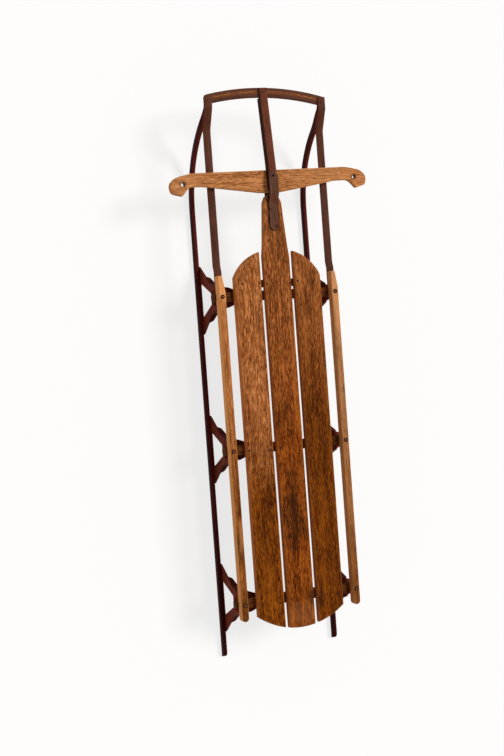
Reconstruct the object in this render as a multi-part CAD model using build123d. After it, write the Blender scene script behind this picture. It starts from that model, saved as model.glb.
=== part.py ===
from build123d import *
import math
import os

# Steel-runner steering sled, in millimetres.
# X runs to the sled's right, Y forward and Z up. The origin is on the ground, at the middle of
# the sled's length and width. Two steel runners curve up at the front to a bowed wooden front bar.
# Six pressed steel knees stand on the runners and carry three wooden beams. Two side rails and
# three deck slats lie on the beams. A wooden steering bar turns on a tubular rivet at the nose of
# the centre slat, and its centre bar pushes the front bar sideways, which bends the runners.

# Overall
gauge = 332.0
beam_spacing = 405.0
runner_tail = 161.0
nose_clearance = 8.0
seat_gap = 0.3
cut_over = 1.0

# Runners, steel bars grooved underneath and flattened at the front tip
runner_gauge = 338.0
runner_width = 10.5
runner_height = 18.0
runner_edge_cut = 1.5
runner_groove_width = 5.0
runner_groove_floor_width = 2.4
runner_groove_depth = 1.2
runner_rise_deg = 48.0
runner_lower_radius = 270.0
runner_upper_radius = 20.0
runner_tip_thick = 4.0
runner_tip_width = 12.0
runner_tip_flat = 17.0
runner_tip_overlap = 34.0
runner_tip_setback = 4.0
runner_tail_radius = 14.0

# Beams, wood
beam_top = 148.0
beam_thick = 24.0
beam_width = 25.0
beam_length = 362.0
beam_end_radius = 9.0

# Front batten, a short wooden strip under the slats
batten_width = 20.0
batten_thick = 12.0
batten_length = 236.0
batten_lead = 31.0
batten_end_radius = 4.0

# Side rails, wood
rail_width = 20.0
rail_thick = 20.0
rail_front_lead = 55.0
rail_rear_tail = 43.5
rail_tail_radius = 9.9
rail_corner_radius = 3.0
rail_neck_radius = 8.0
rail_edge_radius = 3.0
rail_taper_length = 42.0
rail_taper_depth = 6.5

# Deck slats, wood
slat_thick = 15.0
slat_width = 77.0
slat_gap = 11.0
slat_edge_cut = 2.0
shoulder_radius = 125.0
shoulder_reach = 114.0
shoulder_drop = 66.0
tail_radius = 205.0
tail_reach = 81.5
nose_reach = 263.0
nose_neck_reach = 102.0
nose_neck_radius = 60.0
nose_throat_reach = 127.0
nose_throat_width = 70.0
nose_throat_radius = 90.0
nose_cheek_run = 18.0
nose_cheek_width = 52.0
nose_cheek_radius = 25.0
nose_tip_width = 35.0
nose_corner_radius = 10.0

# Steel straps from the front beam to the front bar
strap_width = 21.0
strap_thick = 4.0
strap_bend_radius = 10.0
strap_tail = 18.0
strap_drop_lead = 66.0
strap_drop_run = 16.0
strap_rise_run = 56.0
strap_tip_flat = 31.0
strap_tip_setback = 3.5
strap_clearance = 5.0

# Bowed front bar, wood
front_bar_width = 26.0
front_bar_thick = 10.0
front_bar_length = 346.0
front_bar_bow_radius = 720.0
front_bar_end_radius = 6.0
front_bar_edge_cut = 2.5

# Steering bar, wood, and its pivot
pivot_setback = 236.0
steer_turn_deg = 1.76
steer_length = 581.0
steer_thick = 15.0
steer_front = 17.5
steer_rear = 42.0
steer_belly_length = 56.0
steer_waist_setback = 95.5
steer_waist_rear = 18.0
steer_hook_root_setback = 56.5
steer_hook_root_rear = 17.5
steer_hook_setback = 34.5
steer_hook_rear = 40.5
steer_heel_setback = 6.0
steer_heel_rear = 33.0
steer_end_rear = 10.0
steer_cheek_setback = 18.5
steer_cheek_front = 8.0
steer_shoulder_setback = 62.5
steer_belly_radius = 150.0
steer_hook_root_radius = 26.0
steer_hook_radius = 3.0
steer_heel_radius = 12.0
steer_end_radius = 20.0
steer_cheek_radius = 40.0
steer_shoulder_radius = 90.0
steer_edge_cut = 2.0
rope_hole_radius = 5.75
rope_hole_setback = 38.7
rope_hole_rear = 10.7

# Centre bar, wood, fixed on the steering bar and thinned where it laps over the front bar
centre_bar_width = 26.0
centre_bar_thick = 12.0
centre_bar_tail = 34.0
centre_bar_setback = 0.8
centre_bar_run_out = 5.0
centre_bar_head_thick = 3.0
centre_bar_lap_clearance = 2.5
centre_bar_bend_radius = 60.0
centre_bar_edge_cut = 1.5

# Steel nose plates above and below, and the tubular pivot rivet
plate_width = 27.0
plate_thick = 3.0
plate_lead = 12.0
plate_bend_radius = 6.0
plate_step_lead = 48.0
plate_step_run = 20.0
plate_length = 156.0
lower_plate_length = 126.0
pivot_radius = 6.0
pivot_bore_radius = 3.6
pivot_head_radius = 9.0
pivot_head_thick = 1.6
pivot_seat_clearance = 0.05
pivot_running_clearance = 0.1

# Knees, pressed steel
knee_thick = 2.5
knee_foot_length = 184.0
knee_foot_rise = 3.0
knee_foot_height = 15.0
knee_window_length = 94.0
knee_window_top_length = 30.0
knee_window_drop = 39.0
knee_waist_length = 125.0
knee_waist_drop = 68.0
knee_waist_radius = 14.0
knee_shoulder_length = 84.0
knee_shoulder_drop = 46.0
knee_flange_start_depth = 12.0
knee_flange_start_run = 5.0
knee_flange_depth = 18.0
knee_flange_reach = 34.0
knee_bend_radius = 5.0
knee_tongue_reach = 57.0
knee_tongue_length = 54.0
knee_tongue_tip_length = 36.0
knee_tongue_tip_run = 24.0
knee_corner_radius = 6.0
knee_window_radius = 4.0

# Stations along the sled, a chain from the runners' tails to the front bar
overall_length = runner_tail + 2 * beam_spacing + nose_reach + nose_clearance + steer_rear + pivot_setback
rear_y = -overall_length / 2
front_y = overall_length / 2
beam_y = {"rear": rear_y + runner_tail}
beam_y["middle"] = beam_y["rear"] + beam_spacing
beam_y["front"] = beam_y["middle"] + beam_spacing
batten_y = beam_y["front"] + batten_lead
nose_y = beam_y["front"] + nose_reach
pivot_y = nose_y + nose_clearance + steer_rear
side_x = {"left": -gauge / 2, "right": gauge / 2}
runner_x = {"left": -runner_gauge / 2, "right": runner_gauge / 2}

# Levels above the ground
beam_bottom = beam_top - beam_thick
deck_top = beam_top + slat_thick
steer_bottom = beam_top + seat_gap
steer_top = steer_bottom + steer_thick
centre_bar_top = steer_top + centre_bar_thick
front_bar_top = steer_top - seat_gap
front_bar_bottom = front_bar_top - front_bar_thick
centre_bar_head_top = front_bar_top + seat_gap + centre_bar_head_thick
plate_bottom = centre_bar_top + seat_gap
plate_top = plate_bottom + plate_thick
strap_run_bottom = steer_bottom - strap_clearance - strap_thick
strap_tip_bottom = front_bar_top + seat_gap
runner_tip_bottom = front_bar_bottom - seat_gap - runner_tip_thick


def bow_drop(x):
    """How far the bowed front bar falls back from its foremost point at a distance x."""
    return front_bar_bow_radius - math.sqrt(front_bar_bow_radius**2 - x**2)


# The front bar's front edge above a runner and above a strap
runner_edge_y = front_y - bow_drop(runner_gauge / 2)
strap_edge_y = front_y - bow_drop(gauge / 2)


def upright(face_points, radii, x_low, x_high):
    """A plate between two X places, its outline given as (y, z) corners with their radii."""
    corners = [(0.0, y, z) for y, z in face_points]
    wire = FilletPolyline(*corners, radius=radii, close=True)
    solid = extrude(make_face(wire), amount=x_high - x_low, dir=(1, 0, 0))
    return Pos(x_low, 0, 0) * solid


def flat(face_points, radii, z_low, z_high):
    """A board between two heights, its outline given as (x, y) corners with their radii."""
    wire = FilletPolyline(*face_points, radius=radii, close=True)
    return Pos(0, 0, z_low) * extrude(make_face(wire), amount=z_high - z_low, dir=(0, 0, 1))


def endwise(face_points, radii, half_length):
    """A block along the part's length, its outline given as (x, z) corners with their radii."""
    corners = [(x, -half_length, z) for x, z in face_points]
    wire = FilletPolyline(*corners, radius=radii, close=True)
    return extrude(make_face(wire), amount=half_length * 2, dir=(0, 1, 0))


def drawn(section, path):
    """A section swept along a path in the YZ plane, its X to the sled's left and its Y upwards."""
    start = Plane(origin=path @ 0, x_dir=(-1, 0, 0), z_dir=path % 0)
    return sweep(start * section, path=path)


def strip(path, x, width, thick):
    """A flat strip along a path in the YZ plane, its underside on the path."""
    return Pos(x, 0, 0) * drawn(Rectangle(width, thick, align=(Align.CENTER, Align.MIN)), path)


def round_top(solid, radius):
    """Rounds the edges of the top face."""
    return fillet(solid.faces().sort_by(Axis.Z)[-1].edges(), radius)


def ease(solid, cut, both=False):
    """Breaks the edges of the top face, and of the bottom face where asked, with a chamfer."""
    faces = solid.faces().sort_by(Axis.Z)
    edges = faces[-1].edges()
    if both:
        edges = edges + faces[0].edges()
    return chamfer(edges, cut)


def mirrored(half_points, half_radii):
    """Completes an outline about X = 0 from its right half, given from rear to front."""
    points = half_points + [(-x, y) for x, y in reversed(half_points)]
    return points, half_radii + list(reversed(half_radii))


def runner_section():
    """The runner's section: top edges broken, a groove along the underside."""
    half, groove, floor = runner_width / 2, runner_groove_width / 2, runner_groove_floor_width / 2
    edge = half - runner_edge_cut
    corners = [
        (-half, 0), (-groove, 0), (-floor, runner_groove_depth), (floor, runner_groove_depth), (groove, 0),
        (half, 0), (half, runner_height - runner_edge_cut), (edge, runner_height), (-edge, runner_height),
        (-half, runner_height - runner_edge_cut),
    ]
    return make_face(Polyline(*corners, close=True))


def runner(side):
    """One runner: ground line, upward curve and the flattened tip under the front bar."""
    slope = math.radians(runner_rise_deg)
    tip_y = runner_edge_y - runner_tip_setback
    upper_tangent = runner_upper_radius * math.tan(slope / 2)
    upper_y = tip_y - runner_tip_flat - upper_tangent
    lower_y = upper_y - runner_tip_bottom / math.tan(slope)
    # The full section stops where the upper bend begins.
    bend_y = upper_y - upper_tangent * math.cos(slope)
    bend_z = runner_tip_bottom - upper_tangent * math.sin(slope)
    bar_path = FilletPolyline(
        (0, rear_y, 0), (0, lower_y, 0), (0, bend_y, bend_z), radius=runner_lower_radius)
    bar = drawn(runner_section(), bar_path)
    # The flattened tip begins inside the bar and stands in line with the strap above it.
    flat_y = bend_y - runner_tip_overlap * math.cos(slope)
    flat_z = bend_z - runner_tip_overlap * math.sin(slope)
    tip_path = FilletPolyline(
        (0, flat_y, flat_z), (0, upper_y, runner_tip_bottom), (0, tip_y, runner_tip_bottom),
        radius=runner_upper_radius)
    tip = strip(tip_path, side_x[side] - runner_x[side], runner_tip_width, runner_tip_thick)
    # The bar slopes down to the tip's thickness, and its tail is rounded.
    rise_y, rise_z = -math.sin(slope), math.cos(slope)
    shallow = [(bend_y + rise_y * runner_tip_thick, bend_z + rise_z * runner_tip_thick),
               (flat_y + rise_y * (runner_height + cut_over), flat_z + rise_z * (runner_height + cut_over)),
               (bend_y + rise_y * (runner_height + cut_over), bend_z + rise_z * (runner_height + cut_over)),
               (bend_y + cut_over, bend_z + cut_over)]
    bar -= upright(shallow, 0, -runner_width, runner_width)
    block = runner_tail_radius * 2
    corner = Box(runner_width * 2, block, block, align=(Align.CENTER, Align.MAX, Align.MIN))
    corner -= Rot(0, 90, 0) * Cylinder(runner_tail_radius, runner_width * 2)
    bar -= Pos(0, rear_y + runner_tail_radius, runner_height - runner_tail_radius) * corner
    return Pos(runner_x[side], 0, 0) * (bar + tip)


def strap(side):
    """One strap: its tail in the front beam, a drop under the steering bar, a rise to the tip."""
    tail_y = beam_y["front"] - strap_tail
    drop_y = beam_y["front"] + strap_drop_lead
    tip_y = strap_edge_y - strap_tip_setback
    rise_end_y = tip_y - strap_tip_flat
    tail_bottom = beam_top - strap_thick
    path = FilletPolyline(
        (0, tail_y, tail_bottom), (0, drop_y, tail_bottom), (0, drop_y + strap_drop_run, strap_run_bottom),
        (0, rise_end_y - strap_rise_run, strap_run_bottom), (0, rise_end_y, strap_tip_bottom),
        (0, tip_y, strap_tip_bottom),
        radius=strap_bend_radius,
    )
    return strip(path, side_x[side], strap_width, strap_thick)


def beam(place):
    """One beam, with a gain for each strap in the front one."""
    half, deep, y = beam_length / 2, beam_width / 2, beam_y[place]
    corners = [(half, y - deep), (half, y + deep), (-half, y + deep), (-half, y - deep)]
    board = flat(corners, beam_end_radius, beam_bottom, beam_top)
    if place == "front":
        for x in side_x.values():
            gain = Box(
                strap_width, beam_width + cut_over, strap_thick, align=(Align.CENTER, Align.CENTER, Align.MAX))
            board -= Pos(x, y, beam_top) * gain
    return board


def batten():
    """The short strip that joins the slats ahead of the front beam."""
    half, rear, front = batten_length / 2, batten_y - batten_width / 2, batten_y + batten_width / 2
    corners = [(half, rear), (half, front), (-half, front), (-half, rear)]
    return flat(corners, batten_end_radius, beam_top - batten_thick, beam_top)


def rail(side):
    """One side rail, the right-hand side of its front end tapered, as on both rails."""
    west, east = side_x[side] - rail_width / 2, side_x[side] + rail_width / 2
    front = beam_y["front"] + rail_front_lead
    rear = beam_y["rear"] - rail_rear_tail
    corners = [
        (west, rear), (east, rear), (east, front - rail_taper_length), (east - rail_taper_depth, front),
        (west, front)]
    radii = [rail_tail_radius, rail_tail_radius, rail_neck_radius, rail_corner_radius, rail_corner_radius]
    return round_top(flat(corners, radii, beam_top, beam_top + rail_thick), rail_edge_radius)


def deck_tail_y(x):
    """The deck's round tail at a distance x from the middle."""
    apex = beam_y["rear"] - tail_reach
    return apex + tail_radius - math.sqrt(tail_radius**2 - x**2)


def side_slat(side):
    """One outer slat, with an arched front shoulder and a share of the deck's round tail."""
    inner = slat_width / 2 + slat_gap
    outer = inner + slat_width
    shoulder_y = beam_y["front"] + shoulder_reach
    tail_in, tail_out = deck_tail_y(inner), deck_tail_y(outer)
    tail_mid = ((inner + outer) / 2, deck_tail_y((inner + outer) / 2))
    edges = [
        Line((inner, tail_in), (inner, shoulder_y)),
        RadiusArc((inner, shoulder_y), (outer, shoulder_y - shoulder_drop), shoulder_radius),
        Line((outer, shoulder_y - shoulder_drop), (outer, tail_out)),
        ThreePointArc((outer, tail_out), tail_mid, (inner, tail_in)),
    ]
    board = Pos(0, 0, beam_top) * extrude(make_face(Wire(edges)), amount=slat_thick, dir=(0, 0, 1))
    board = ease(board, slat_edge_cut)
    return board if side == "right" else mirror(board, about=Plane.YZ)


def centre_slat():
    """The long middle slat, its nose tapered from the neck to a blunt round tip."""
    half = slat_width / 2
    neck_y = beam_y["front"] + nose_neck_reach
    throat_y = beam_y["front"] + nose_throat_reach
    points, radii = mirrored(
        [(half, beam_y["rear"] - tail_reach - cut_over), (half, neck_y),
         (nose_throat_width / 2, throat_y), (nose_cheek_width / 2, nose_y - nose_cheek_run), (nose_tip_width / 2, nose_y)],
        [0, nose_neck_radius, nose_throat_radius, nose_cheek_radius, nose_corner_radius],
    )
    board = flat(points, radii, beam_top, deck_top)
    return ease(board & tail_round(), slat_edge_cut)


def tail_round():
    """The deck's tail circle, run forward past the nose."""
    centre = beam_y["rear"] - tail_reach + tail_radius
    disc = Cylinder(tail_radius, deck_top * 2)
    ahead = Box(slat_width * 2, overall_length, deck_top * 2, align=(Align.CENTER, Align.MIN, Align.CENTER))
    return Pos(0, centre, 0) * (disc + ahead)


def front_bar():
    """The bowed bar across the front."""
    centre_y = front_y - front_bar_bow_radius
    outer = Pos(0, centre_y, front_bar_bottom) * Cylinder(
        front_bar_bow_radius, front_bar_thick, align=(Align.CENTER, Align.CENTER, Align.MIN))
    inner = Pos(0, centre_y - front_bar_width, front_bar_bottom) * Cylinder(
        front_bar_bow_radius, front_bar_thick, align=(Align.CENTER, Align.CENTER, Align.MIN))
    slab = Pos(0, front_y, front_bar_bottom) * Box(
        front_bar_length, front_bar_bow_radius, front_bar_thick, align=(Align.CENTER, Align.CENTER, Align.MIN))
    bar = (outer - inner) & slab
    corners = bar.edges().filter_by(Axis.Z)
    bar = fillet(corners, front_bar_end_radius)
    return ease(bar, front_bar_edge_cut, both=True)


def steering_bar():
    """The steering bar: straight in front, bellied behind, with a hooked end each side."""
    half = steer_length / 2
    points, radii = mirrored(
        [(steer_belly_length / 2, -steer_rear), (half - steer_waist_setback, -steer_waist_rear),
         (half - steer_hook_root_setback, -steer_hook_root_rear), (half - steer_hook_setback, -steer_hook_rear),
         (half - steer_heel_setback, -steer_heel_rear), (half, -steer_end_rear),
         (half - steer_cheek_setback, steer_cheek_front), (half - steer_shoulder_setback, steer_front)],
        [steer_belly_radius, steer_belly_radius, steer_hook_root_radius, steer_hook_radius,
         steer_heel_radius, steer_end_radius, steer_cheek_radius, steer_shoulder_radius],
    )
    board = ease(flat(points, radii, steer_bottom, steer_top), steer_edge_cut, both=True)
    for hole_x in (rope_hole_setback - half, half - rope_hole_setback):
        board -= Pos(hole_x, -rope_hole_rear, 0) * Cylinder(rope_hole_radius, steer_top * 2 + cut_over)
    return on_pivot(board - pivot_hole(pivot_running_clearance))


def on_pivot(solid):
    """Places a steered piece on the pivot, turned a little to the left as the sled stands."""
    return Pos(0, pivot_y, 0) * Rot(0, 0, steer_turn_deg) * solid


def pivot_hole(clearance):
    """The pivot's hole through everything, at X = Y = 0."""
    return Cylinder(pivot_radius + clearance, plate_top * 2)


def centre_bar():
    """The bar from the pivot forward, sloping down to its thin head on top of the front bar."""
    half, low = centre_bar_width / 2, -centre_bar_edge_cut
    edge = half + low
    section = make_face(Polyline(
        (-half, -centre_bar_thick), (half, -centre_bar_thick), (half, low), (edge, 0), (-edge, 0), (-half, low),
        close=True))
    front = front_y - centre_bar_setback - pivot_y
    lap_y = front_y - front_bar_width - centre_bar_lap_clearance - pivot_y
    path = FilletPolyline(
        (0, -centre_bar_tail, centre_bar_top), (0, steer_front + centre_bar_run_out, centre_bar_top),
        (0, lap_y, centre_bar_head_top), (0, front, centre_bar_head_top), radius=centre_bar_bend_radius)
    lap = Pos(0, lap_y, 0) * Box(
        centre_bar_width * 2, front, front_bar_top + seat_gap, align=(Align.CENTER, Align.MIN, Align.MIN))
    return on_pivot(drawn(section, path) - lap - pivot_hole(pivot_running_clearance))


def rounded_plan(rear, front):
    """A tall block with half-round ends that trims a nose plate to its plan."""
    half = plate_width / 2
    corners = [(half, rear), (half, front), (-half, front), (-half, rear)]
    return flat(corners, half - seat_gap, 0, plate_top * 2)


def nose_plate_upper():
    """The plate over the pivot, stepped down on to the nose of the centre slat."""
    front = pivot_y + plate_lead
    rear = front - plate_length
    step_y = pivot_y - plate_step_lead
    path = FilletPolyline(
        (0, rear, deck_top), (0, step_y - plate_step_run, deck_top), (0, step_y, plate_bottom),
        (0, front, plate_bottom), radius=plate_bend_radius,
    )
    plate = strip(path, 0, plate_width, plate_thick) & rounded_plan(rear, front)
    return plate - Pos(0, pivot_y, 0) * pivot_hole(pivot_seat_clearance)


def nose_plate_lower():
    """The plate under the pivot, flat against the underside of the centre slat."""
    front = pivot_y + plate_lead
    rear = front - lower_plate_length
    half = plate_width / 2
    corners = [(half, rear), (half, front), (-half, front), (-half, rear)]
    plate = flat(corners, half - seat_gap, beam_top - plate_thick, beam_top)
    return plate - Pos(0, pivot_y, 0) * pivot_hole(pivot_seat_clearance)


def pivot_rivet():
    """The tubular rivet on which the steering bar turns."""
    low = beam_top - plate_thick
    base = (Align.CENTER, Align.CENTER, Align.MIN)
    tube = Pos(0, 0, low) * Cylinder(pivot_radius, plate_top - low, align=base)
    tube += Pos(0, 0, plate_top) * Cylinder(pivot_head_radius, pivot_head_thick, align=base)
    tube += Pos(0, 0, low - pivot_head_thick) * Cylinder(pivot_head_radius, pivot_head_thick, align=base)
    return Pos(0, pivot_y, 0) * (tube - Cylinder(pivot_bore_radius, plate_top * 2 + cut_over))


def knee(place, side):
    """One knee: a windowed upright on the runner's inner side, bent in to a tongue under the beam."""
    # Built for the right side with its outer face at X = 0, then placed.
    top = beam_bottom
    foot_z = knee_foot_rise
    bend = knee_bend_radius + knee_thick
    reach = knee_tongue_reach
    profile = FilletPolyline((0, 0, foot_z), (0, 0, top), (-reach, 0, top), radius=bend)
    base = Plane(origin=profile @ 0, x_dir=(0, 1, 0), z_dir=profile % 0)
    sheet = sweep(base * Rectangle(knee_foot_length, knee_thick, align=(Align.CENTER, Align.MIN)), path=profile)
    foot, waist, shoulder = knee_foot_length / 2, knee_waist_length / 2, knee_shoulder_length / 2
    half, tip = knee_tongue_length / 2, knee_tongue_tip_length / 2
    foot_top, waist_z, shoulder_z = foot_z + knee_foot_height, top - knee_waist_drop, top - knee_shoulder_drop
    slope = [(foot, foot_top), (waist, waist_z), (shoulder, shoulder_z), (half, top - bend)]
    outline = upright(
        [(foot, 0)] + slope + [(half, top + cut_over), (-half, top + cut_over)]
        + [(-y, z) for y, z in reversed(slope)] + [(-foot, 0)],
        [0, 0, knee_waist_radius, 0, 0, 0, 0, 0, 0, knee_waist_radius, 0, 0], -bend, cut_over,
    )
    tongue = flat(
        [(-bend, -half), (-bend, half), (knee_tongue_tip_run - reach, half), (-reach, tip), (-reach, -tip),
         (knee_tongue_tip_run - reach, -half)],
        [0, 0] + [knee_corner_radius] * 4, 0, top + cut_over,
    )
    window, window_top = knee_window_length / 2, knee_window_top_length / 2
    window_z = top - knee_window_drop
    opening = upright(
        [(window, foot_top), (window_top, window_z), (-window_top, window_z), (-window, foot_top)],
        knee_window_radius, -bend, cut_over,
    )
    plate = (sheet & (outline + tongue)) - opening
    # A flange turned inward stiffens both sloping edges from the waist up and runs in under the tongue.
    deep = endwise(
        [(0, waist_z), (0, top), (-knee_flange_reach, top), (-knee_flange_reach, top - knee_thick),
         (-knee_flange_depth, shoulder_z), (-knee_flange_start_depth, waist_z + knee_flange_start_run),
         (-knee_thick, waist_z)],
        [0, bend, 0, 0, 0, 0, 0], foot,
    )
    rim = slope[1:] + [(half, top)]
    for edge in (-1, 1):
        plate += deep & upright(
            [(edge * y, z) for y, z in rim] + [(edge * (y - knee_thick), z) for y, z in reversed(rim)],
            0, -knee_flange_reach, 0,
        )
    x = runner_gauge / 2 - runner_width / 2
    if side == "left":
        plate = mirror(plate, about=Plane.YZ)
        x = -x
    return Pos(x, beam_y[place], 0) * plate


def write(name, solid):
    """Writes one piece to its own file."""
    export_step(solid, f"parts/{name}.step")


os.makedirs("parts", exist_ok=True)
sides = ("left", "right")
places = ("front", "middle", "rear")
for side in sides:
    write(f"runner_{side}", runner(side))
    write(f"strap_{side}", strap(side))
    write(f"rail_{side}", rail(side))
    write(f"slat_{side}", side_slat(side))
    for place in places:
        write(f"knee_{place}_{side}", knee(place, side))
for place in places:
    write(f"beam_{place}", beam(place))
write("front_batten", batten())
write("slat_centre", centre_slat())
write("front_bar", front_bar())
write("steering_bar", steering_bar())
write("centre_bar", centre_bar())
write("nose_plate_upper", nose_plate_upper())
write("nose_plate_lower", nose_plate_lower())
write("pivot_rivet", pivot_rivet())
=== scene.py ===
import math

import bmesh
import bpy
from bpy.props import FloatProperty, FloatVectorProperty, IntProperty, PointerProperty
from bpy.types import NodeSocket, Operator, Panel, PropertyGroup
from mathutils import Matrix, Vector


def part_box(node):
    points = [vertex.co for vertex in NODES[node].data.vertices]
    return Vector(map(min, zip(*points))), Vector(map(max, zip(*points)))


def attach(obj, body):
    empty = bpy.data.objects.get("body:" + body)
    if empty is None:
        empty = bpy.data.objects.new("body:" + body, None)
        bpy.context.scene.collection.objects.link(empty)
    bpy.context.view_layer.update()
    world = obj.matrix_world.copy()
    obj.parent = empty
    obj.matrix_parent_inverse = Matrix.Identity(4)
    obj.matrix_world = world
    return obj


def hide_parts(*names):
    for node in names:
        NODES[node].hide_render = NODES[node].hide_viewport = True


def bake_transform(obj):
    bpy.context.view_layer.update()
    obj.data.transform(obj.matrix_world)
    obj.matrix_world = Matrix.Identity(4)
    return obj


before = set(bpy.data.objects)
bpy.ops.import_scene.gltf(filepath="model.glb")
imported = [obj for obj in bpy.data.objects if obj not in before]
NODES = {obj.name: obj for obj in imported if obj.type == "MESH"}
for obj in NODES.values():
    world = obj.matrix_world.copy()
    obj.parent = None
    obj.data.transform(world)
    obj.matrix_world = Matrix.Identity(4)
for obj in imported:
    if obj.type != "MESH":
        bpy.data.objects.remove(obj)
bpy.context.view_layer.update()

bl_info = {
    "name": "Steel-Runner Sled Finisher",
    "version": (1, 0, 0),
    "blender": (4, 5, 0),
    "location": "3D View > Sidebar > Sled",
    "description": "Gives the sled its bent steel, fasteners, old varnish and worn paint, and a pale stage",
    "category": "Object",
}

SIDES = ("left", "right")
PLACES = ("front", "middle", "rear")


def middle(node):
    """The middle of a node's box."""
    low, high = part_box(node)
    return (low + high) / 2


RUNNER_LOW, RUNNER_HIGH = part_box("runner_left")
RAIL_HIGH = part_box("rail_left")[1]
SLAT_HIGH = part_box("slat_left")[1]
BEAM_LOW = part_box("beam_middle")[0]
STRAP_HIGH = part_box("strap_left")[1]
PLATE_LOW, PLATE_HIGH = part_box("nose_plate_upper")
BAR_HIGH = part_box("front_bar")[1]
CENTRE_BAR_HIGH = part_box("centre_bar")[1]
KNEE_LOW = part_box("knee_middle_left")[0]
BEAM_Y = {place: middle("beam_" + place).y for place in PLACES}
PIVOT = middle("pivot_rivet")
BAR_TURN = math.radians(1.76)

# Thicknesses of the steel and places of the fasteners, in metres

KNEE_STEEL = 0.0025
PLATE_STEEL = 0.003
TIP_STEEL = 0.004
KNEE_RIVET_ALONG = 0.07
KNEE_RIVET_HEIGHT = 0.0105
TONGUE_RIVET_OUT = 0.119
NOSE_RIVETS = ((-0.0092, -0.088), (0.0066, -0.132))
TIP_RIVET_BACK = 0.0135
BAR_RIVET_OUT = -0.0073
BAR_RIVET_BACK = 0.0115
BAR_RIVET_LIFT = 0.0033

# Rows of deck nails, each with its Y and the X of its nails, which stray a little from the row

NAIL_ROWS = (
    (middle("front_batten").y, (-0.1046, -0.0548, -0.0336, -0.0037, 0.0342, 0.057, 0.1038)),
    (BEAM_Y["middle"] - 0.004, (-0.1193, -0.0572, -0.0267, 0.0304, 0.0631, 0.112)),
    (BEAM_Y["rear"] - 0.006, (-0.1145, -0.062, -0.028, 0.0359, 0.064, 0.113)),
)
NAIL_STRAY = 0.0022
NAIL_STRAY_TURN = 2.7

# Profiles of the turned heads: shares of the radius and heights in metres. The top of the round
# head has shares of the rivet's height.

ROUND_FOOT = ((0.96, -0.0003), (1, 0.0002))
ROUND_TOP = ((0.92, 0.5), (0.7, 0.84), (0.4, 0.97), (0.08, 1))
FLAT_HEAD = ((1.05, -0.0003), (1.08, 0.0004), (0.98, 0.0008), (0.5, 0.001), (0.1, 0.001))
WASHER = ((1, -0.0004), (1, 0.0004), (0.9, 0.0009), (0.6, 0.0009), (0.5, 0.0003), (0.1, 0.0002))
WASHER_HEAD = ((0.4, 0.0001), (0.38, 0.0011), (0.25, 0.0017), (0.08, 0.0019))
RIVET_END = ((1, -0.0003), (1, 0.0008), (5 / 7, 0.0016), (1 / 7, 0.0018))
NAIL_HEAD = ((0.8, -0.0012), (1, -0.0001), (0.95, 0.00012), (0.5, 0.00018), (0.1, 0.0002))
RIVET_END_RADIUS = 0.0021
NAIL_FACETS = 12

# How many sections each stretch of a runner has, and how its tip narrows along its length

TAIL_STEPS, STRAIGHT_STEPS, CURVE_STEPS, RISE_STEPS, TIP_STEPS = 7, 26, 18, 16, 8
RUNNER_END = ((0.5, 1.0), (0.9, 1.0), (0.97, 0.94), (1.0, 0.8))

# The same for a strap, whose straight stretches are cut to about one length

STRAP_SPACING = 0.03
STRAP_STEPS = 4
STRAP_END = ((0.003, 1.0), (0.0008, 0.93), (0.0, 0.8))

# Shares and inset of a full section, radius of its lower edges, and the layers and corners of a lug

FULL_SECTION = (1.0, 1.0, 0.0)
LOWER_EDGE = 0.0007
LUG_LAYERS = ((0, 0.95), (0.2, 1.0), (0.8, 1.0), (1.0, 0.97))
CORNER_STEPS = 4

# Noises: spots in a metre along X, Y and Z, their detail, and the levels that become 0 and 1

NOISE_ROUGHNESS = 0.6
PEPPER = ((400, 80, 400), 2, 0.37, 0.63)
FLECKS = ((330, 40, 330), 2, 0.545, 0.61)
FINE = ((720, 60, 720), 3, 0.35, 0.65)
STREAKS = ((230, 11, 230), 3, 0.40, 0.62)
BANDS = ((48, 2.2, 48), 3, 0.36, 0.68)
CRACKS = ((360, 20, 360), 2, 0.58, 0.64)
PATCHES = ((15, 6, 15), 5, 0.46, 0.64)
WORN_PATCHES = ((60, 60, 60), 3, 0.38, 0.58)
CLOUDS = ((45, 14, 45), 4, 0.36, 0.68)
SPECKLE = ((420, 300, 420), 3, 0.40, 0.66)
CHIPS = ((150, 95, 150), 4, 0.60, 0.65)
BRUSHED = ((500, 12, 500), 2, 0.35, 0.65)
RAGGED = ((28, 18, 28), 4, 0.30, 0.70)
CLOUDED_VARNISH = ((22, 9, 22), 4, 0.25, 0.75)
DASHES = ((120, 330, 330), 3, 0.50, 0.62)
UNEVEN_EDGE = ((150, 22, 150), 3, 0.3, 0.7)
UNEVEN_RIM = ((140, 60, 140), 3, 0.3, 0.7)

# How the wood's grain is made up

WANDER = {"Scale": 5.0, "Detail": 2.0}
WANDER_REACH = (0.016, 0.0, 0.016)
GRAIN_SHARES = (0.5, 0.4, 0.36)
GRAIN_MIDDLE = sum(GRAIN_SHARES) / 2
GRAIN_DARKEST, GRAIN_PALEST = 0.13, 1.15
DEPTH_CONTRAST = 0.55
STAIN_ON_DARK, STAIN_LOSS = 1.4, 0.8
CLOUDED_REACH = 0.14
CROSSWISE = math.radians(90)
RAIL_GRAIN = (1, 0.6, 1)
BAR_DARKER, CENTRE_BAR_PALER, FRONT_BAR_PALER = 0.5, 1.6, 1.8

# How much each noise tells in the paint's colour, in the height and in the dullness

CLOUD_SHARE, SPECKLE_SHARE = 0.55, 0.22
WOOD_RELIEF, WOOD_DULLNESS = (0.35, 0.3, -0.7), (0.16, 0.12)
PAINT_RELIEF, PAINT_DULLNESS = (0.3, -1.0, 0.2), (0.15, 0.25)
DULLNESS = 0.42
# The paint's grime share also gives the colour of its painted shade.
PAINT_GRIME_AND_SHADE, IRON_GRIME, IRON_CHIPS = 0.2, 0.5, 0.3

# How steep a worn arris is and how far from that the wear reaches, and when a face looks along an axis

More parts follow.
